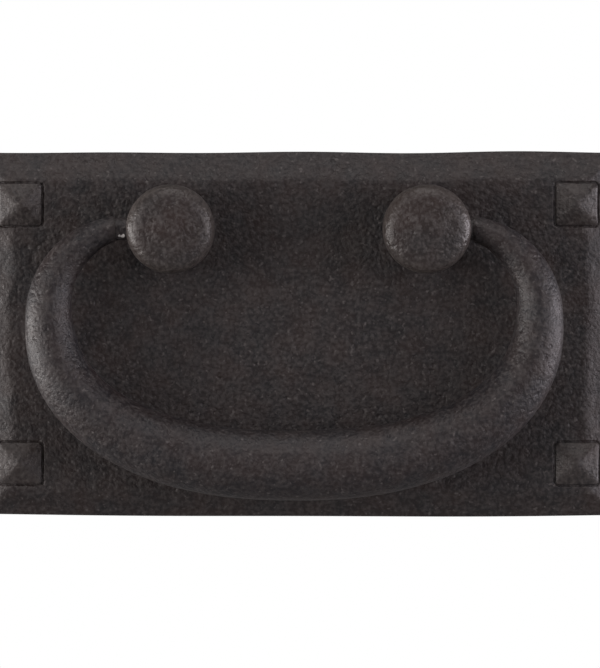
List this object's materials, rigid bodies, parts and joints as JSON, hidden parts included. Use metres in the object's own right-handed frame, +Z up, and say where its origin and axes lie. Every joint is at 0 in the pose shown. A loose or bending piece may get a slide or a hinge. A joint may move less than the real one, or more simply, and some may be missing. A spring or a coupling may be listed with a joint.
{
  "type": "plate handle",
  "caption": "Drawer pull: a bevelled cast backplate with corner studs, two round posts and a tapered drop bail that swings up from hanging.",
  "frame": {"origin": "midway between the axes of the two screw holes, on the plane of the plate's back face", "axes": "+X runs along the pull from the left post to the right post, +Z is up, and the front faces -Y"},
  "size_m": [0.0954, 0.0183, 0.0543],
  "materials": {
    "cast_plate": "dark brown-black satin over a fine cast grain",
    "turned_post": "dark brown-black satin, smoother than the plate",
    "cast_bail": "dark brown-black satin, bare metal rubbed through under the left spigot"
  },
  "bodies": {
    "plate": {"backplate": "cast_plate", "left_post": "turned_post", "right_post": "turned_post"},
    "bail": {"bail": "cast_bail"}
  },
  "joints": [
    {"name": "bail_swing", "type": "hinge", "parent": "plate", "child": "bail", "pos_m": [0, -0.01215, 0], "axis": [-1, 0, 0], "range_deg": [-6, 190]}
  ]
}
